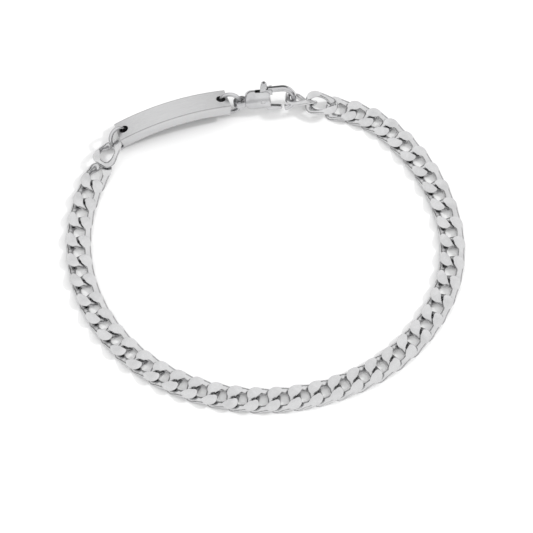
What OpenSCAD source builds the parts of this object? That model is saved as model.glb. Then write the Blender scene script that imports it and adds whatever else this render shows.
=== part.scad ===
// Chain bracelet: a closed loop of twisted curb links, an arched plate, two jump rings and a lobster clasp.
// It lies flat on the ground as a rounded loop. All sizes are in millimetres.
// +X runs to the right of the loop, +Y from the near side to the plate's side, +Z up.

/* [Links] */

// Half length of a link's wire centreline
link_half_length = 2.6; // [2.6:0.01:2.66]
// Half width of a link's wire centreline
link_half_width = 1.72; // [1.68:0.02:1.8]
// Height that the centreline rises and dips to pass the neighbouring links
link_twist = 0.68; // [0.68:0.01:0.75]
// Width of the link's wire at its ends and sides
link_wire_width = 0.96; // [0.8:0.02:0.96]
// Width that the wire gains at its four shoulders, where the links cross
link_shoulder = 0.48; // [0:0.02:0.48]
// Height of the link's wire before its faces are ground flat
link_wire_height = 1; // [0.8:0.02:1]
// Share of the wire's width that is flat on top
link_wire_flat = 0.32; // [0.2:0.02:0.34]
// Thickness between the two ground faces of a link
link_thickness = 1.3; // [1.2:0.05:1.7]
// Exponent of the link's outline, where 2 is an ellipse and more is squarer
link_squareness = 2.3; // [2.2:0.1:2.5]
// Stations along a link
link_segments = 16; // [12:2:16]

/* [Plate] */

// Length of the plate along its outer face's chord
plate_length = 21.7; // [18:0.1:26]
// Width of the plate
plate_width = 4.7; // [4:0.1:6]
// Thickness of the plate
plate_thickness = 2.0; // [1.5:0.05:2.4]
// Radius that the outer face is arched to
plate_radius = 43; // [33:1:60]
// Size of the small bevel along the plate's long edges
plate_edge = 0.15; // [0.05:0.05:0.3]
// Diameter of the hole at each end
plate_hole_d = 1.7; // [1.5:0.05:1.9]
// Distance from the plate's end to the hole's axis
plate_hole_inset = 1.35; // [1.2:0.05:1.8]
// Angle that the plate's near edge is rolled up
plate_roll = 17.5; // [0:0.5:30]
// Angle that the plate's right end is raised
plate_pitch = 2; // [0:0.5:5]
// Direction that the plate runs in, seen from above
plate_yaw = 18.7; // [15:0.1:25]
// Place of the middle of the plate's outer face
plate_at = [-17.7, 30.35, 4.25]; // [-40:0.05:40]

/* [Jump rings] */

// Outer diameter of a jump ring
ring_outer_d = 4.6; // [4:0.1:5]
// Wire diameter of a jump ring
ring_wire_d = 0.75; // [0.6:0.05:0.9]

/* [Clasp] */

// Width of the clasp's body across its mouth
body_width = 3.8; // [3:0.1:4.5]
// Thickness of the clasp's body
body_thickness = 2.6; // [2:0.1:3]
// Radius that the body's broad faces are arched to
body_crown_r = 3; // [3:0.2:8]
// Distance from the eye's centre to the body's mouth
body_end = 5.6; // [5:0.1:6]
// Distance from the eye's centre to the start of the body
body_start = 0.9; // [0.8:0.1:1.5]
// How far the body's middle line lies towards the spine from the eye's centre
body_offset = 0.3; // [0:0.1:0.6]
// Radius of the eye's hole
eye_hole_r = 0.62; // [0.5:0.02:0.8]
// Wall of the eye round its hole
eye_wall = 0.75; // [0.5:0.05:0.9]
// Width of the eye
eye_width = 1.1; // [0.8:0.1:1.4]
// Radius of the hook's bend to the middle of its metal
hook_radius = 2.15; // [1.8:0.05:2.5]
// Distance from the eye's centre to the middle of the hook's bend
hook_centre = 7.85; // [7:0.05:8.5]
// Angle of the bend's end, measured from the clasp's length towards the near side
hook_tip_angle = 84; // [60:1:100]
// Width of the hook's metal in the clasp's plane
hook_width = 0.95; // [0.6:0.05:1]
// Thickness of the hook's metal across the clasp's plane
hook_thickness = 1.25; // [0.9:0.1:1.6]

/* [Lever] */

// Place of the lever's pin along and across the clasp, from the eye's centre
pivot_at = [4.3, 0.35]; // [0:0.05:6]
// Radius of the pin
pin_r = 0.35; // [0.3:0.01:0.5]
// Clearance between the pin and the lever's bore
pin_clearance = 0.04; // [0.01:0.01:0.1]
// Clearance between the pin and the body's bore, where it is soldered
pin_seat = 0.01; // [0.005:0.005:0.03]
// Thickness of the lever
lever_thickness = 0.9; // [0.6:0.1:1.2]
// Gap between the lever and the slot's walls on each side
lever_gap = 0.06; // [0.05:0.01:0.1]
// Radius of the lever's boss round the pin
boss_r = 0.85; // [0.7:0.05:1.1]
// Place of the thumb tab's round end
tab_at = [4.72, 3.25]; // [0:0.05:6]
// Radius of the thumb tab's round end
tab_r = 0.6; // [0.4:0.05:0.8]
// Place of the lever's elbow where it leaves the body
elbow_at = [5.15, -1.65]; // [-3:0.05:9]
// Radius of the elbow
elbow_r = 0.45; // [0.3:0.05:0.6]
// Place of the gate's end by the hook's tip
gate_at = [7.35, -1.85]; // [-3:0.05:9]
// Radius of the gate's end
gate_r = 0.28; // [0.2:0.02:0.4]

/* [Colours] */

// Colour of the links
link_colour = [0.8, 0.8, 0.82]; // [0:0.01:1]
// Colour of the plate
plate_colour = [0.82, 0.82, 0.84]; // [0:0.01:1]
// Colour of the rings and the clasp
fitting_colour = [0.78, 0.78, 0.8]; // [0:0.01:1]

/* [Hidden] */

// Stretches of the chain, walked from the plate's left end round to the clasp.
// Columns: links in the stretch, pitch from link to link, turn after each link in degrees
stretches = [
    [3, 4.03, 7.6],
    [4, 4.01, 7.3],
    [5, 3.79, 6.8],
    [5, 3.63, 5.8],
    [5, 3.71, 5.6],
    [5, 3.82, 6.7],
    [5, 3.94, 8.5],
    [5, 3.94, 6.1],
    [3, 3.65, 11.0],
    [1, 3.78, -0.1]
];
// Where the first flat link begins, and the direction that it runs in
chain_start = [-30.63, 20.04];
chain_heading = -114.8;

// Links that hang from the fittings instead of lying flat.
// Columns: name, centre, roll with the loop's inner side up, rise of the leading end, heading
hung_links = [
    ["link_01", [-29.42, 22.63, 1.78], 14.5, 4.6, -116.9],
    ["link_43", [10.32, 32.84, 2.2], -2.1, 4.5, 169.8],
    ["link_44", [6.42, 33.24, 2.87], 43.6, 15.1, 174.3]
];

// Places of the jump rings.
// Columns: centre, tilt from lying flat, direction that the ring's high side points in
ring_chain_at = [[-27.47, 25.57, 1.96], 54.5, 141.3];
ring_clasp_at = [[-6.8, 32.89, 2.48], 66, 86.7];

// Place of the clasp: the eye's centre, its direction seen from above,
// the rise of its hook end, and its roll with the spine side up
clasp_at = [-4.84, 32.91, 2.69];
clasp_yaw = 3.5;
clasp_pitch = 5.7;
clasp_roll = 63.7;

// Middle of the whole loop on the ground, which is the part's origin
loop_middle = [-0.21, 3.371];

function total(list, last) = last < 0 ? 0 : list[last] + total(list, last - 1);

// One entry per flat link: its pitch and its turn
steps = [for (s = stretches) for (i = [1:s[0]]) [s[1], s[2]]];
pitches = [for (s = steps) s[0]];
turns = [for (s = steps) s[1]];

function heading(k) = chain_heading + total(turns, k - 1);
function along(k) = [cos(heading(k)), sin(heading(k))];
function joint_at(k) = k == 0 ? chain_start : joint_at(k - 1) + pitches[k - 1] * along(k - 1);

function two_digits(k) = k < 10 ? str("0", k) : str(k);
function link_name(k) = str("link_", two_digits(k));

link_names = [for (k = [1:len(steps) + 3]) link_name(k)];
fitting_names = ["id_plate", "ring_chain", "ring_clasp", "clasp_body", "clasp_lever", "clasp_pin"];

function unit(v) = v / norm(v);
function power(x, e) = sign(x) * pow(abs(x), e);

// Centreline of a link: a squarish oval that rises and dips once on each side
function station(i) = 360 * (i + 0.5) / link_segments;
function wire_point(t) = [
    link_half_length * power(cos(t), 2 / link_squareness),
    link_half_width * power(sin(t), 2 / link_squareness),
    -link_twist * sin(2 * t)
];
function wire_tangent(i) = unit(wire_point(station(i + 1)) - wire_point(station(i - 1)));
function ground(z) = max(-link_thickness / 2, min(link_thickness / 2, z));
// Half width of the wire: even at the ends and sides, wider at the shoulders
function half_wire(t) = (link_wire_width + link_shoulder * pow(sin(2 * t), 2)) / 2;
function wire_vertex(i, j) =
    let (
        along_wire = wire_tangent(i),
        across = unit(cross([0, 0, 1], along_wire)),
        up = cross(along_wire, across),
        side = half_wire(station(i)) * wire_section[j].x * across,
        rise = link_wire_height / 2 * wire_section[j].y * up,
        p = wire_point(station(i)) + side + rise
    )
    [p.x, p.y, ground(p.z)];

// Six corners of the wire's section, as shares of its half width and half height
wire_section = [
    [1, 0],
    [link_wire_flat, 1],
    [-link_wire_flat, 1],
    [-1, 0],
    [-link_wire_flat, -1],
    [link_wire_flat, -1]
];
link_sides = len(wire_section);

link_points = [
    for (i = [0:link_segments - 1]) for (j = [0:link_sides - 1]) wire_vertex(i, j)
];
function corner(i, j) = (i % link_segments) * link_sides + j % link_sides;
link_faces = [
    for (i = [0:link_segments - 1]) for (j = [0:link_sides - 1]) for (half = [0, 1])
        half == 0
            ? [corner(i, j), corner(i + 1, j), corner(i, j + 1)]
            : [corner(i, j + 1), corner(i + 1, j), corner(i + 1, j + 1)]
];

hook_section = hook_thickness / 2;
slot_half = lever_thickness / 2 + lever_gap;
round_fn = 64;
small_fn = 32;

// Moves a piece from the loop's own coordinates to the part's origin
module on_ground() {
    translate([-loop_middle.x, -loop_middle.y, 0]) children();
}

module curb_link() {
    color(link_colour)
        polyhedron(points = link_points, faces = link_faces);
}

// A link that lies flat in the chain, where k counts the flat links from 0
module flat_link(k) {
    middle = (joint_at(k) + joint_at(k + 1)) / 2;
    translate([middle.x, middle.y, link_thickness / 2])
        rotate([0, 0, heading(k)])
            curb_link();
}

// A link that hangs from a fitting, from a row of the table
module hung_link(row) {
    translate(row[1])
        rotate([0, 0, row[4]])
            rotate([0, -row[3], 0])
                rotate([row[2], 0, 0])
                    curb_link();
}

module chain_link(name) {
    row = search([name], hung_links)[0];
    index = search([name], link_names)[0];
    if (is_num(row)) hung_link(hung_links[row]);
    else flat_link(index - 1);
}

// Section of the plate with its long edges bevelled, its outer face at x = plate_radius
module plate_section() {
    inner = plate_radius - plate_thickness;
    half = plate_width / 2;
    polygon([
        [inner, -half + plate_edge],
        [inner + plate_edge, -half],
        [plate_radius - plate_edge, -half],
        [plate_radius, -half + plate_edge],
        [plate_radius, half - plate_edge],
        [plate_radius - plate_edge, half],
        [inner + plate_edge, half],
        [inner, half - plate_edge]
    ]);
}

module plate_place() {
    translate(plate_at)
        rotate([0, -plate_pitch, plate_yaw])
            rotate([-plate_roll, 0, 0])
                translate([0, 0, -plate_radius])
                    children();
}

module id_plate() {
    half_angle = asin(plate_length / 2 / plate_radius);
    hole_angle = asin((plate_length / 2 - plate_hole_inset) / plate_radius);
    color(plate_colour)
        plate_place()
            difference() {
                rotate([90, 0, 0])
                    rotate([0, 0, 90 - half_angle])
                        rotate_extrude(angle = 2 * half_angle, $fn = 180)
                            plate_section();
                for (side = [-1, 1])
                    rotate([0, side * hole_angle, 0])
                        translate([0, 0, plate_radius - plate_thickness / 2])
                            cylinder(
                                h = 3 * plate_thickness, d = plate_hole_d,
                                center = true, $fn = small_fn
                            );
            }
}

// A closed ring lying flat at the origin
module jump_ring() {
    color(fitting_colour)
        rotate_extrude($fn = round_fn)
            translate([(ring_outer_d - ring_wire_d) / 2, 0])
                circle(d = ring_wire_d, $fn = small_fn);
}

// The high side points in the third column's direction
module ring_place(row) {
    translate(row[0])
        rotate([0, 0, row[2]])
            rotate([0, -row[1], 0])
                children();
}

module ring_chain() {
    ring_place(ring_chain_at) jump_ring();
}

module ring_clasp() {
    ring_place(ring_clasp_at) jump_ring();
}

module clasp_place() {
    translate(clasp_at)
        rotate([0, 0, clasp_yaw])
            rotate([0, -clasp_pitch, 0])
                rotate([clasp_roll, 0, 0])
                    children();
}

// Half outline of the pillow body, revolved about the clasp's length
module pillow_profile() {
    half = body_width / 2;
    neck = 0.9;
    shoulder = 1.3;
    mouth = half - 0.12;
    polygon(concat(
        [[0, body_start], [neck, body_start]],
        [for (a = [0:10:80]) [neck + (half - neck) * sin(a), body_start + shoulder * (1 - cos(a))]],
        [[half, body_start + shoulder], [mouth, body_end], [0, body_end]]
    ));
}

// Long round bar whose far side is one of the body's two arched broad faces
module crown(side) {
    translate([0, body_offset, side * (body_thickness / 2 - body_crown_r)])
        rotate([0, 90, 0])
            cylinder(h = 3 * body_end, r = body_crown_r, center = true, $fn = 2 * round_fn);
}

module pillow() {
    intersection() {
        translate([0, body_offset, 0])
            rotate([0, 90, 0])
                rotate_extrude($fn = round_fn)
                    pillow_profile();
        crown(-1);
        crown(1);
    }
}

module eye_ring() {
    outer = eye_hole_r + eye_wall;
    rotate([90, 0, 0])
        cylinder(h = eye_width, r = outer, center = true, $fn = round_fn);
}

module hook_profile() {
    side = hook_width / 2;
    bevel = hook_width / 4;
    polygon([
        [hook_radius - side, -hook_section + bevel],
        [hook_radius - side + bevel, -hook_section],
        [hook_radius + side - bevel, -hook_section],
        [hook_radius + side, -hook_section + bevel],
        [hook_radius + side, hook_section - bevel],
        [hook_radius + side - bevel, hook_section],
        [hook_radius - side + bevel, hook_section],
        [hook_radius - side, hook_section - bevel]
    ]);
}

// Straight spine and round bend of the hook, and the block that joins the spine to the body
module hook() {
    sunk = 0.6;
    lap = 0.1;
    block = [1.15, hook_width + 0.15, 1.7];
    block_low = hook_radius - hook_width / 2 - 0.25;
    root = body_end - sunk;
    translate([hook_centre, 0, 0])
        rotate([0, 0, -hook_tip_angle])
            rotate_extrude(angle = 90 + hook_tip_angle, $fn = round_fn)
                hook_profile();
    translate([root, 0, 0])
        rotate([90, 0, 90])
            linear_extrude(hook_centre - root + lap)
                hook_profile();
    translate([root, block_low, -block.z / 2])
        cube(block);
}

// Slot that the lever swings in, open at the mouth and the near side, with a window for the tab
module lever_slot() {
    back = 1.35;
    front = 2.65;
    window_front = 1.08;
    depth = 1.3;
    lap = 0.1;
    reach = 2 * body_width;
    translate([pivot_at.x - back, depth - reach, -slot_half])
        cube([back + front, reach, 2 * slot_half]);
    translate([pivot_at.x - back, depth - lap, -slot_half])
        cube([back + window_front, body_width, 2 * slot_half]);
}

module clasp_body() {
    color(fitting_colour)
        clasp_place()
            difference() {
                union() {
                    pillow();
                    eye_ring();
                    hook();
                }
                rotate([90, 0, 0])
                    cylinder(h = 3 * eye_width, r = eye_hole_r, center = true, $fn = small_fn);
                lever_slot();
                translate([pivot_at.x, pivot_at.y, 0])
                    cylinder(h = 2 * body_thickness, r = pin_r + pin_seat, center = true, $fn = small_fn);
            }
}

module lever_outline() {
    hull() {
        translate(pivot_at) circle(r = boss_r, $fn = small_fn);
        translate(tab_at) circle(r = tab_r, $fn = small_fn);
    }
    hull() {
        translate(pivot_at) circle(r = boss_r, $fn = small_fn);
        translate(elbow_at) circle(r = elbow_r, $fn = small_fn);
    }
    hull() {
        translate(elbow_at) circle(r = elbow_r, $fn = small_fn);
        translate(gate_at) circle(r = gate_r, $fn = small_fn);
    }
}

module clasp_lever() {
    color(fitting_colour)
        clasp_place()
            difference() {
                translate([0, 0, -lever_thickness / 2])
                    linear_extrude(lever_thickness)
                        lever_outline();
                translate([pivot_at.x, pivot_at.y, 0])
                    cylinder(
                        h = 2 * lever_thickness, r = pin_r + pin_clearance,
                        center = true, $fn = small_fn
                    );
            }
}

module clasp_pin() {
    inset = 0.05;
    color(fitting_colour)
        clasp_place()
            translate([pivot_at.x, pivot_at.y, 0])
                cylinder(h = body_thickness - 2 * inset, r = pin_r, center = true, $fn = small_fn);
}

for (name = link_names)
    on_ground() chain_link(name);
on_ground() id_plate();
on_ground() ring_chain();
on_ground() ring_clasp();
on_ground() clasp_body();
on_ground() clasp_lever();
on_ground() clasp_pin();
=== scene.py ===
"""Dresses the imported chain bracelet: smooth links, plate, rings and clasp in polished and brushed metal."""

import math

import bmesh
import bpy
from mathutils import Matrix, Vector


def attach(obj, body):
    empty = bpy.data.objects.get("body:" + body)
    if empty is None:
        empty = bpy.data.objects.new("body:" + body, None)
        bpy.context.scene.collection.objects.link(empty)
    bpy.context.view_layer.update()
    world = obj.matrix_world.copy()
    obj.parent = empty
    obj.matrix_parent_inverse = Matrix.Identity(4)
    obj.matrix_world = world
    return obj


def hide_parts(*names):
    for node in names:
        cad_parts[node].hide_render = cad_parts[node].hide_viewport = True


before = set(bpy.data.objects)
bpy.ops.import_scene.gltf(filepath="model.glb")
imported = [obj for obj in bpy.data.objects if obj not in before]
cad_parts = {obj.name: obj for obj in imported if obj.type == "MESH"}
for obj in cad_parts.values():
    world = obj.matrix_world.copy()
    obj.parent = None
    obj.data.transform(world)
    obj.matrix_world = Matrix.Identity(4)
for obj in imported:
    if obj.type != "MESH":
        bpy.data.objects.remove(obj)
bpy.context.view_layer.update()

MM = 0.001
# Bodies, and the angle above which an edge is shaded sharp
ROOT = "bracelet"
LEVER = "lever"
SHARP_ANGLE = 30

# Camera: the photograph looks down at the loop from its near side
CAMERA_ELEVATION = 64
CAMERA_DISTANCE = 400 * MM
PICTURE_SIDE = 533
FOCAL_PIXELS = 2200
SENSOR = 36

# Chain, as in the CAD source, in millimetres and degrees
LOOP_MIDDLE = (-0.21, 3.371)
CHAIN_START = (-30.63, 20.04)
CHAIN_HEADING = -114.8
# links in the stretch, pitch, turn after each link
STRETCHES = (
    (3, 4.03, 7.6),
    (4, 4.01, 7.3),
    (5, 3.79, 6.8),
    (5, 3.63, 5.8),
    (5, 3.71, 5.6),
    (5, 3.82, 6.7),
    (5, 3.94, 8.5),
    (5, 3.94, 6.1),
    (3, 3.65, 11.0),
    (1, 3.78, -0.1),
)
# name: centre, roll, rise, heading
HUNG_LINKS = {
    "link_01": ((-29.42, 22.63, 1.78), 14.5, 4.6, -116.9),
    "link_43": ((10.32, 32.84, 2.2), -2.1, 4.5, 169.8),
    "link_44": ((6.42, 33.24, 2.87), 43.6, 15.1, 174.3),
}
LINK_HALF_LENGTH = 2.6
LINK_HALF_WIDTH = 1.72
LINK_TWIST = 0.68
LINK_SQUARENESS = 2.3
LINK_HALF_THICKNESS = 0.65
LINK_WIRE_WIDTH = 0.96
LINK_SHOULDER = 0.48
LINK_WIRE_HEIGHT = 1.0
# The flat links' smooth wire is fuller than the CAD's: width at the ends, more at the sides and shoulders
FULL_WIRE_WIDTH = 1.08
FULL_SIDE = 0.2
FULL_SHOULDER = 0.74
FULL_HALF_WIDTH = 1.63
# Gap between the hooked ends of neighbouring links, and rounding of the ground faces' edges
END_GAP = 0.14
LINK_EDGE = 0.08
LINK_SHARP_ANGLE = 25

# Plate
PLATE_LENGTH = 21.7
PLATE_WIDTH = 4.7
PLATE_THICKNESS = 2.0
PLATE_RADIUS = 43
PLATE_HOLE_R = 0.85
PLATE_HOLE_INSET = 1.35
PLATE_AT = (-17.7, 30.35, 4.25)
PLATE_ROLL = 17.5
PLATE_PITCH = 2
PLATE_YAW = 18.7
PLATE_EDGE = 0.2

# Jump rings: centre, tilt, direction of the high side
RING_R = 1.925
RING_WIRE_R = 0.375
RING_SHARP_ANGLE = 60
RINGS = {
    "ring_chain": ((-27.47, 25.57, 1.96), 54.5, 141.3),
    "ring_clasp": ((-6.8, 32.89, 2.48), 66, 86.7),
}

# Clasp
CLASP_AT = (-4.84, 32.91, 2.69)
CLASP_YAW = 3.5
CLASP_PITCH = 5.7
CLASP_ROLL = 63.7
# Pillow body along the clasp's own x. Its middle lies off the axis, and its two faces are crowned
BODY_START = 0.9
BODY_SHOULDER_LENGTH = 1.3
BODY_END = 5.6
BODY_NECK_HALF_WIDTH = 0.9
BODY_HALF_WIDTH = 1.9
BODY_HALF_THICKNESS = 1.3
BODY_OFFSET = 0.3
BODY_CROWN_R = 3
# The lever's slot, the thinnest wall beside it, and the length in which the oval section ends at the mouth
SLOT_HALF = 0.51
SLOT_WALL = 0.06
MOUTH_FADE = 0.4
# Rounding of the cast clasp pieces: voxel size and smoothing passes, after points this close are joined
CAST = {"clasp_body": (0.05, 10), "clasp_lever": (0.045, 10)}
WELD_DISTANCE = 0.001
PIN_EDGE = 0.05

# Metals: darker and lighter grey of the uneven surface, lowest and highest roughness
CHAIN_LOOK = ((0.51, 0.51, 0.515), (0.62, 0.62, 0.625), 0.15, 0.26)
RING_LOOK = ((0.48, 0.48, 0.49), (0.59, 0.59, 0.6), 0.12, 0.22)
CLASP_LOOK = ((0.48, 0.48, 0.49), (0.57, 0.57, 0.58), 0.14, 0.24)
PLATE_LOOK = ((0.67, 0.67, 0.675), (0.77, 0.77, 0.775), 0.34, 0.46)
# Range of a noise's values that the looks use
NOISE_RANGE = (0.3, 0.7)
# Noise of polished metal: waves a metre along each axis, detail, roughness
DENTS = ((420, 420, 420), 2, 0.55)
GLOSS = ((5200, 5200, 5200), 4, 0.6)
HAIRLINES = ((1400, 16000, 16000), 2, 0.55)
# Largest shift of that noise along each axis, so that the pieces differ
PIECE_SHIFT = (0.9, 0.7, 0.5)
# Noise of brushed metal
STREAKS = ((90, 9000, 9000), 5, 0.65)
BANDS = ((60, 700, 700), 3, 0.55)
BRUSH_GRAIN = ((900, 14000, 14000), 3, 0.55)
# Relief: height in millimetres, strength
DENT_RELIEF = (0.04, 0.35)
HAIRLINE_RELIEF = (0.004, 0.5)
STREAK_RELIEF = (0.008, 0.55)
BRUSH_GRAIN_RELIEF = (0.004, 0.45)
# Painted shade is darkest on the metal where this share of the sky is open
DARKEST_SKY = 0.1
# Painted shade between close pieces and on the plate's side walls: reach in millimetres, grey, share of open
# sky at full brightness
CREVICE_PAINTED_SHADE = (0.6, (0.48, 0.48, 0.485), 0.75)
WALL_SHADE = (20, (0.2, 0.2, 0.205), 1.0)
# Grey of the painted dark reflection along the long edges of the plate's outer face
PAINTED_EDGE_REFLECTION_GREY = (0.44, 0.44, 0.445)

# Studio: half the floor's side and its drop below the part in metres, its grey and roughness
FLOOR_REACH = 1.5
FLOOR_DROP = 0.00001
FLOOR_GREY = 0.93
FLOOR_ROUGHNESS = 0.9
# Key light: azimuth, elevation, distance and side in metres, power in watts
KEY_LIGHT = (11, 40, 1.0, 0.1, 3.7)
# Light tent: darkest and brightest, and the heights of the view direction between which it brightens
TENT_LIGHT = (0.03, 1.0)
TENT_RISE = (0.12, 0.5)
# White card low in front: brightness, where it fades out sideways, and where it fades in towards the front
CARD_LIGHT = 0.75
CARD_SIDES = (0.16, 0.3)
CARD_FRONT = (-0.4, -0.7)
WORLD_STRENGTH = 1.17


def turn(axis, degrees):
    return Matrix.Rotation(math.radians(degrees), 4, axis)


def place(centre, *turns):
    """Matrix of a piece built about its own origin: its turns, then the move to its place in the loop."""
    x, y, z = centre
    matrix = Matrix.Translation(Vector((x - LOOP_MIDDLE[0], y - LOOP_MIDDLE[1], z)) * MM)
    for rotation in turns:
        matrix = matrix @ rotation
    return matrix


def new_object(name, data):
    obj = bpy.data.objects.new(name, data)
    bpy.context.scene.collection.objects.link(obj)
    return obj


def add_piece(name, mesh, node, material, matrix=None, body=ROOT):
    """A new piece that stands for one CAD node and moves with its body."""
    obj = new_object(name, mesh)
    if matrix is not None:
        obj.matrix_world = matrix
    if not mesh.materials:
        mesh.materials.append(material)
    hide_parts(node)
    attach(obj, body)
    return obj


def bevel(obj, width, segments=2, angle=SHARP_ANGLE):
    edges = obj.modifiers.new("edges", "BEVEL")
    edges.width = width * MM
    edges.segments = segments
    edges.limit_method = "ANGLE"
    edges.angle_limit = math.radians(angle)
    edges.harden_normals = True


def join_rings(bm, first, second):
    """Faces all round between two rings of points that follow each other."""
    for i in range(len(first)):
        j = (i + 1) % len(first)
        bm.faces.new((first[i], second[i], second[j], first[j]))


def smooth_shading(mesh, sharp_angle=SHARP_ANGLE):
    mesh.shade_smooth()
    mesh.set_sharp_from_angle(angle=math.radians(sharp_angle))


def finish_mesh(bm, name, sharp_angle=SHARP_ANGLE):
    bmesh.ops.recalc_face_normals(bm, faces=bm.faces)
    mesh = bpy.data.meshes.new(name)
    bm.to_mesh(mesh)
    bm.free()
    smooth_shading(mesh, sharp_angle)
    return mesh


# Materials


class Nodes:
    """A short way to write the node tree of a material or of the world."""

    def __init__(self, owner):
        owner.use_nodes = True
        self.owner = owner
        self.tree = owner.node_tree

    def add(self, kind, **settings):
        node = self.tree.nodes.new(kind)
        for name, value in settings.items():
            setattr(node, name, value)
        return node

    def link(self, output, socket):
        self.tree.links.new(output, socket)

    def coordinates(self, kind):
        return self.add("ShaderNodeTexCoord").outputs[kind]

    def axes(self, kind):
        """The x, y and z of the object's own or the world's coordinates."""
        split = self.add("ShaderNodeSeparateXYZ")
        self.link(self.coordinates(kind), split.inputs["Vector"])
        return [split.outputs[axis] for axis in "XYZ"]

    def noise(self, scale, detail, roughness, shift=None):
        """Noise in object coordinates, stretched along each axis and shifted differently for each piece."""
        mapping = self.add("ShaderNodeMapping")
        self.link(self.coordinates("Object"), mapping.inputs["Vector"])
        mapping.inputs["Scale"].default_value = scale
        if shift:
            info = self.add("ShaderNodeObjectInfo")
            move = self.add("ShaderNodeVectorMath", operation="SCALE")
            move.inputs[0].default_value = shift
            self.link(info.outputs["Random"], move.inputs["Scale"])
            self.link(move.outputs["Vector"], mapping.inputs["Location"])
        node = self.add("ShaderNodeTexNoise")
        node.inputs["Scale"].default_value = 1.0
        node.inputs["Detail"].default_value = detail
        node.inputs["Roughness"].default_value = roughness
        self.link(mapping.outputs["Vector"], node.inputs["Vector"])
        return node.outputs["Fac"]

    def map_to(self, value, low, high, start=NOISE_RANGE[0], end=NOISE_RANGE[1]):
        """Low where the value is at start or before it, high at end or beyond, and evenly in between."""
        node = self.add("ShaderNodeMapRange")
        node.inputs["From Min"].default_value = start
        node.inputs["From Max"].default_value = end
        node.inputs["To Min"].default_value = low
        node.inputs["To Max"].default_value = high
        self.link(value, node.inputs["Value"])
        return node.outputs["Result"]

    def mix(self, share, first, second):
        """From the first colour at share 0 to the second at 1. Each is a constant or a node's output."""
        node = self.add("ShaderNodeMix", data_type="RGBA")
        self.link(share, node.inputs[0])
        for colour, socket in ((first, node.inputs[6]), (second, node.inputs[7])):
            if isinstance(colour, tuple):
                socket.default_value = (*colour, 1)
            else:
                self.link(colour, socket)
        return node.outputs[2]

    def shade(self, colour, reach, dark, bright_sky):
        """Painted shade: darkens the colour where other metal or the floor stands close and hides the sky."""
        node = self.add("ShaderNodeAmbientOcclusion")
        node.samples = 8
        node.inputs["Distance"].default_value = reach * MM
        return self.mix(self.map_to(node.outputs["AO"], 0, 1, DARKEST_SKY, bright_sky), dark, colour)

    def bump(self, height, distance, strength, below=None):
        node = self.add("ShaderNodeBump")
        node.inputs["Strength"].default_value = strength
        node.inputs["Distance"].default_value = distance * MM
        self.link(height, node.inputs["Height"])
        if below is not None:
            self.link(below, node.inputs["Normal"])
        return node.outputs["Normal"]

    def calculate(self, operation, first, second=0):
        node = self.add("ShaderNodeMath", operation=operation)
        for value, socket in ((first, node.inputs[0]), (second, node.inputs[1])):
            if isinstance(value, (int, float)):
                socket.default_value = value
            else:
                self.link(value, socket)
        return node.outputs["Value"]

    def painted_edge_reflection(self, colour, dark):
        """Painted dark reflection: darkens the rounded edges between the plate's arched outer face and its
        long side walls.
        """
        x, y, z = self.axes("Object")
        height = self.calculate("ADD", z, PLATE_RADIUS * MM)
        squares = (self.calculate("POWER", side, 2) for side in (x, height))
        radius = self.calculate("SQRT", self.calculate("ADD", *squares))
        near = []
        for distance, full in ((radius, PLATE_RADIUS), (self.calculate("ABSOLUTE", y), PLATE_WIDTH / 2)):
            start, end = (full - PLATE_EDGE) * MM, (full - PLATE_EDGE / 2) * MM
            near.append(self.map_to(distance, 0, 1, start, end))
        return self.mix(self.calculate("MULTIPLY", *near), colour, dark)

    def metal(self, colour, roughness, normal):
        shader = self.tree.nodes["Principled BSDF"]
        shader.inputs["Metallic"].default_value = 1.0
        self.link(colour, shader.inputs["Base Color"])
        self.link(roughness, shader.inputs["Roughness"])
        self.link(normal, shader.inputs["Normal"])
        return self.owner


def polished_metal(name, dark, light, rough_low, rough_high):
    """Tumbled and polished metal: soft uneven gloss, fine hairlines and tiny dents, with painted shade where
    close pieces hide the sky.
    """
    nodes = Nodes(bpy.data.materials.new(name))
    dents, gloss, hairlines = (nodes.noise(*look, PIECE_SHIFT) for look in (DENTS, GLOSS, HAIRLINES))
    # Painted shade in the crevices between close pieces
    colour = nodes.shade(nodes.mix(nodes.map_to(dents, 0, 1), dark, light), *CREVICE_PAINTED_SHADE)
    normal = nodes.bump(hairlines, *HAIRLINE_RELIEF, below=nodes.bump(dents, *DENT_RELIEF))
    return nodes.metal(colour, nodes.map_to(gloss, rough_low, rough_high), normal)


def brushed_metal(name, dark, light, rough_low, rough_high):
    """Satin metal with fine streaks along the piece's length, painted shade where the floor hides the sky,
    and a painted dark reflection along the outer face's long edges.
    """
    nodes = Nodes(bpy.data.materials.new(name))
    streaks, bands, grain = (nodes.noise(*look) for look in (STREAKS, BANDS, BRUSH_GRAIN))
    # Painted shade on the plate's side walls, where the floor hides the sky
    colour = nodes.shade(nodes.mix(nodes.map_to(streaks, 0, 1), dark, light), *WALL_SHADE)
    # Painted dark reflection along the long edges of the outer face
    colour = nodes.painted_edge_reflection(colour, PAINTED_EDGE_REFLECTION_GREY)
    normal = nodes.bump(grain, *BRUSH_GRAIN_RELIEF, below=nodes.bump(streaks, *STREAK_RELIEF))
    return nodes.metal(colour, nodes.map_to(bands, rough_low, rough_high), normal)


chain_metal = polished_metal("chain_metal", *CHAIN_LOOK)
ring_metal = polished_metal("ring_metal", *RING_LOOK)
clasp_metal = polished_metal("clasp_metal", *CLASP_LOOK)
plate_metal = brushed_metal("plate_metal", *PLATE_LOOK)


# Links


def signed_power(value, exponent):
    return math.copysign(abs(value) ** exponent, value)


def link_point(angle, half_length, half_width):
    """Centreline of a link: a squarish oval that rises and dips once on each side."""
    exponent = 2 / LINK_SQUARENESS
    return Vector((
        half_length * signed_power(math.cos(angle), exponent),
        half_width * signed_power(math.sin(angle), exponent),
        -LINK_TWIST * math.sin(2 * angle),
    ))


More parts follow.
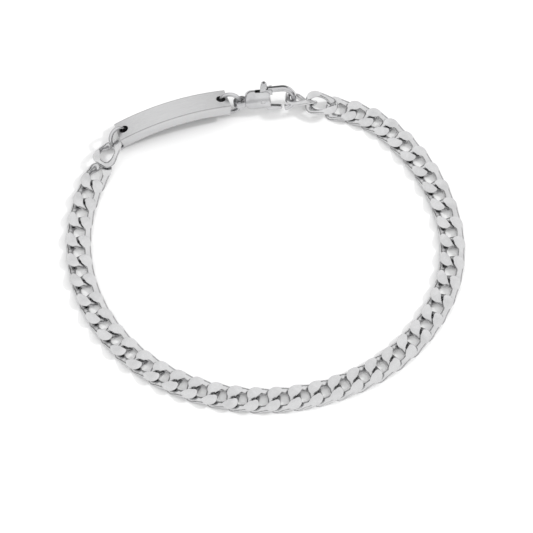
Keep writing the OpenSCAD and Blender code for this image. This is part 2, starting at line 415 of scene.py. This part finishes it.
def half_wire(angle, width, side, shoulder):
    """Half width of the wire: narrowest at the ends, wider at the sides, widest at the four shoulders."""
    return (width + side * math.sin(angle) ** 2 + shoulder * math.sin(2 * angle) ** 2) / 2


def link_mesh(half_length, half_width, width, side, shoulder, stations=72, sides=24):
    """A twisted closed link of rounded wire with its upper and lower faces ground flat.

    The stations lie at equal lengths of wire, found on a fine division of the centreline.
    """
    bm = bmesh.new()
    fine = 2000
    step = fine // stations // 2
    angles = [2 * math.pi * (i + 0.5) / fine for i in range(fine)]
    points = [link_point(angle, half_length, half_width) for angle in angles]
    lengths = [0.0]
    for i in range(fine):
        lengths.append(lengths[-1] + (points[(i + 1) % fine] - points[i]).length)
    rings = []
    at = 0
    for i in range(stations):
        wanted = lengths[-1] * i / stations
        while lengths[at + 1] < wanted:
            at += 1
        point = points[at % fine]
        along = (points[(at + step) % fine] - points[(at - step) % fine]).normalized()
        across = Vector((0, 0, 1)).cross(along).normalized()
        up = along.cross(across)
        ring = []
        for j in range(sides):
            angle = 2 * math.pi * (j + 0.5) / sides
            out = half_wire(angles[at % fine], width, side, shoulder) * math.cos(angle) * across
            rise = LINK_WIRE_HEIGHT / 2 * math.sin(angle) * up
            ring.append(bm.verts.new((point + out + rise) * MM))
        rings.append(ring)
    for i in range(stations):
        join_rings(bm, rings[i], rings[(i + 1) % stations])
    for face in (1, -1):
        cut = bmesh.ops.bisect_plane(
            bm,
            geom=bm.verts[:] + bm.edges[:] + bm.faces[:],
            plane_co=(0, 0, face * LINK_HALF_THICKNESS * MM),
            plane_no=(0, 0, face),
            clear_outer=True,
        )
        edges = [part for part in cut["geom_cut"] if isinstance(part, bmesh.types.BMEdge)]
        bmesh.ops.holes_fill(bm, edges=edges)
    return finish_mesh(bm, "curb_link", LINK_SHARP_ANGLE)


def flat_links():
    """Name, pitch and matrix of every link that lies flat in the chain."""
    x, y = CHAIN_START
    heading = CHAIN_HEADING
    number = 2
    for count, pitch, bend in STRETCHES:
        for _ in range(count):
            dx, dy = math.cos(math.radians(heading)), math.sin(math.radians(heading))
            centre = (x + dx * pitch / 2, y + dy * pitch / 2, LINK_HALF_THICKNESS)
            yield f"link_{number:02d}", pitch, place(centre, turn("Z", heading))
            x, y = x + dx * pitch, y + dy * pitch
            heading += bend
            number += 1


def add_link(name, mesh, matrix):
    link = add_piece(name + "_wire", mesh, name, chain_metal, matrix)
    bevel(link, LINK_EDGE, segments=3, angle=LINK_SHARP_ANGLE)


curbs = {}
for link_name, pitch, matrix in flat_links():
    if pitch not in curbs:
        half_length = (pitch + FULL_WIRE_WIDTH + END_GAP) / 2
        curbs[pitch] = link_mesh(half_length, FULL_HALF_WIDTH, FULL_WIRE_WIDTH, FULL_SIDE, FULL_SHOULDER)
    add_link(link_name, curbs[pitch], matrix)

hung_curb = link_mesh(LINK_HALF_LENGTH, LINK_HALF_WIDTH, LINK_WIRE_WIDTH, 0, LINK_SHOULDER)
for link_name, (centre, roll, rise, heading) in HUNG_LINKS.items():
    add_link(link_name, hung_curb, place(centre, turn("Z", heading), turn("Y", -rise), turn("X", roll)))


# Plate


def plate_mesh(steps=96):
    """The arched plate, built with the middle of its outer face at the origin."""
    bm = bmesh.new()
    half_angle = math.asin(PLATE_LENGTH / 2 / PLATE_RADIUS)
    half = PLATE_WIDTH / 2
    inner, outer = PLATE_RADIUS - PLATE_THICKNESS, PLATE_RADIUS
    section = ((inner, -half), (outer, -half), (outer, half), (inner, half))
    rings = []
    for i in range(steps + 1):
        angle = half_angle * (2 * i / steps - 1)
        ring = []
        for radius, y in section:
            corner = Vector((radius * math.sin(angle), y, radius * math.cos(angle) - PLATE_RADIUS))
            ring.append(bm.verts.new(corner * MM))
        rings.append(ring)
    for first, second in zip(rings, rings[1:]):
        join_rings(bm, first, second)
    bm.faces.new(rings[0])
    bm.faces.new(rings[-1][::-1])
    return finish_mesh(bm, "plate")


def cutter(matrix, radius, depth, segments=48):
    """A round rod along Z that cuts a hole."""
    bm = bmesh.new()
    bmesh.ops.create_cone(
        bm,
        cap_ends=True,
        segments=segments,
        radius1=radius * MM,
        radius2=radius * MM,
        depth=depth * MM,
        matrix=matrix,
    )
    return new_object("cutter", finish_mesh(bm, "cutter"))


def applied(obj):
    """The object's mesh with its modifiers applied, as a new mesh."""
    bpy.context.view_layer.update()
    depsgraph = bpy.context.evaluated_depsgraph_get()
    return bpy.data.meshes.new_from_object(
        obj.evaluated_get(depsgraph), preserve_all_data_layers=True, depsgraph=depsgraph
    )


def drop(*objects):
    for obj in objects:
        bpy.data.objects.remove(obj, do_unlink=True)


def cut_plate():
    """The plate's mesh with a hole square to its outer face near each end."""
    plate = new_object("plate_work", plate_mesh())
    hole_angle = math.degrees(math.asin((PLATE_LENGTH / 2 - PLATE_HOLE_INSET) / PLATE_RADIUS))
    to_axis = Matrix.Translation(Vector((0, 0, PLATE_RADIUS)) * MM)
    cutters = []
    for side in (-1, 1):
        at = to_axis.inverted() @ turn("Y", side * hole_angle) @ to_axis
        rod = cutter(at, PLATE_HOLE_R, 4 * PLATE_THICKNESS)
        cutters.append(rod)
        hole = plate.modifiers.new("hole", "BOOLEAN")
        hole.operation = "DIFFERENCE"
        hole.solver = "EXACT"
        hole.object = rod
    mesh = applied(plate)
    mesh.name = "id_plate_mesh"
    drop(plate, *cutters)
    smooth_shading(mesh)
    return mesh


plate_matrix = place(PLATE_AT, turn("Z", PLATE_YAW), turn("Y", -PLATE_PITCH), turn("X", -PLATE_ROLL))
plate = add_piece("plate_brushed", cut_plate(), "id_plate", plate_metal, plate_matrix)
bevel(plate, PLATE_EDGE, segments=3)


# Jump rings


def ring_mesh(around=96, sides=24):
    bm = bmesh.new()
    rings = []
    for i in range(around):
        angle = 2 * math.pi * i / around
        ring = []
        for j in range(sides):
            wire_angle = 2 * math.pi * j / sides
            radius = RING_R + RING_WIRE_R * math.cos(wire_angle)
            height = RING_WIRE_R * math.sin(wire_angle)
            point = Vector((radius * math.cos(angle), radius * math.sin(angle), height))
            ring.append(bm.verts.new(point * MM))
        rings.append(ring)
    for i in range(around):
        join_rings(bm, rings[i], rings[(i + 1) % around])
    return finish_mesh(bm, "jump_ring", RING_SHARP_ANGLE)


jump_ring = ring_mesh()
for name, (centre, tilt, direction) in RINGS.items():
    matrix = place(centre, turn("Z", direction), turn("Y", -tilt))
    add_piece(name + "_wire", jump_ring, name, ring_metal, matrix)


# Clasp


def swell(point):
    """Moves a point of the pillow body, in the clasp's own millimetres, so that the section is an oval."""
    x, y, z = point
    if not BODY_START < x < BODY_END or abs(z) <= SLOT_HALF:
        return point
    rise = 1 - min(1.0, (x - BODY_START) / BODY_SHOULDER_LENGTH)
    half = BODY_NECK_HALF_WIDTH + (BODY_HALF_WIDTH - BODY_NECK_HALF_WIDTH) * math.sqrt(1 - rise * rise)
    out = min(1.0, abs(y - BODY_OFFSET) / half)
    crown = math.sqrt(BODY_CROWN_R ** 2 - (out * half) ** 2) - BODY_CROWN_R + BODY_HALF_THICKNESS
    oval = BODY_HALF_THICKNESS * math.sqrt(1 - out * out)
    skin = max(SLOT_HALF + SLOT_WALL, min(crown, oval))
    fade = min(1.0, (BODY_END - x) / MOUTH_FADE)
    share = 1 + fade * ((skin - SLOT_HALF) / (crown - SLOT_HALF) - 1)
    return Vector((x, y, math.copysign(SLOT_HALF + (abs(z) - SLOT_HALF) * share, z)))


def cast_mesh(node, voxel, passes):
    """The CAD node's shape with its edges rounded as a polished casting has them."""
    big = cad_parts[node].data.copy()
    big.transform(Matrix.Scale(1 / MM, 4))
    bm = bmesh.new()
    bm.from_mesh(big)
    bmesh.ops.remove_doubles(bm, verts=bm.verts, dist=WELD_DISTANCE)
    bm.to_mesh(big)
    bm.free()
    work = new_object("work", big)
    remesh = work.modifiers.new("voxels", "REMESH")
    remesh.mode = "VOXEL"
    remesh.voxel_size = voxel
    soften = work.modifiers.new("soften", "SMOOTH")
    soften.factor = 0.5
    soften.iterations = passes
    mesh = applied(work)
    drop(work)
    mesh.transform(Matrix.Scale(MM, 4))
    if node == "clasp_body":
        own = place(CLASP_AT, turn("Z", CLASP_YAW), turn("Y", -CLASP_PITCH), turn("X", CLASP_ROLL))
        to_own = own.inverted()
        for vertex in mesh.vertices:
            vertex.co = own @ (swell((to_own @ vertex.co) / MM) * MM)
    mesh.materials.clear()
    mesh.name = node + "_cast_mesh"
    mesh.shade_smooth()
    return mesh


for node, (voxel, passes) in CAST.items():
    mesh = cast_mesh(node, voxel, passes)
    body = LEVER if node == "clasp_lever" else ROOT
    add_piece(node + "_cast", mesh, node, clasp_metal, body=body)

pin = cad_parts["clasp_pin"]
pin.data.materials.clear()
pin.data.materials.append(clasp_metal)
bevel(pin, PIN_EDGE)


# Floor, light and camera


def floor_paper():
    nodes = Nodes(bpy.data.materials.new("floor_paper"))
    shader = nodes.tree.nodes["Principled BSDF"]
    shader.inputs["Base Color"].default_value = (FLOOR_GREY, FLOOR_GREY, FLOOR_GREY, 1)
    shader.inputs["Roughness"].default_value = FLOOR_ROUGHNESS
    return nodes.owner


def add_floor():
    mesh = bpy.data.meshes.new("floor")
    corners = [(x * FLOOR_REACH, y * FLOOR_REACH, 0) for x, y in ((-1, -1), (1, -1), (1, 1), (-1, 1))]
    mesh.from_pydata(corners, [], [(0, 1, 2, 3)])
    mesh.materials.append(floor_paper())
    floor = new_object("floor", mesh)
    floor.location.z = -FLOOR_DROP


def area_light(name, azimuth, elevation, distance, size, watts):
    """A square light that shines on the middle of the part."""
    data = bpy.data.lights.new(name, "AREA")
    data.shape = "RECTANGLE"
    data.size = data.size_y = size
    data.energy = watts
    light = new_object(name, data)
    around, up = math.radians(azimuth), math.radians(elevation)
    direction = Vector((math.cos(around) * math.cos(up), math.sin(around) * math.cos(up), math.sin(up)))
    light.location = direction * distance
    light.rotation_mode = "QUATERNION"
    light.rotation_quaternion = direction.to_track_quat("Z", "Y")
    return light


add_floor()
# The key light casts the shadows, and the metal mirrors only the tent and the card
key = area_light("key", *KEY_LIGHT)
key.visible_glossy = False

sky = Nodes(bpy.data.worlds.new("studio"))
bpy.context.scene.world = sky.owner
sky_x, sky_y, sky_z = sky.axes("Generated")
tent = sky.map_to(sky_z, *TENT_LIGHT, *TENT_RISE)
card_sides = sky.map_to(sky.calculate("ABSOLUTE", sky_x), CARD_LIGHT, 0, *CARD_SIDES)
card_front = sky.map_to(sky_y, 0, 1, *CARD_FRONT)
card = sky.calculate("MULTIPLY", card_sides, card_front)
background = sky.tree.nodes["Background"]
sky.link(sky.calculate("MAXIMUM", tent, card), background.inputs["Color"])
background.inputs["Strength"].default_value = WORLD_STRENGTH

camera_data = bpy.data.cameras.new("camera")
camera_data.sensor_width = SENSOR
camera_data.lens = SENSOR * FOCAL_PIXELS / PICTURE_SIDE
camera_data.clip_start = 0.01
camera = new_object("camera", camera_data)
elevation = math.radians(CAMERA_ELEVATION)
back = Vector((0, -math.cos(elevation), math.sin(elevation)))
# It aims at the source's own origin, which is the middle of the picture
camera.location = place((0, 0, 0)).to_translation() + back * CAMERA_DISTANCE
camera.rotation_mode = "QUATERNION"
camera.rotation_quaternion = (-back).to_track_quat("-Z", "Y")
bpy.context.scene.camera = camera
bpy.context.scene.view_settings.view_transform = "Standard"
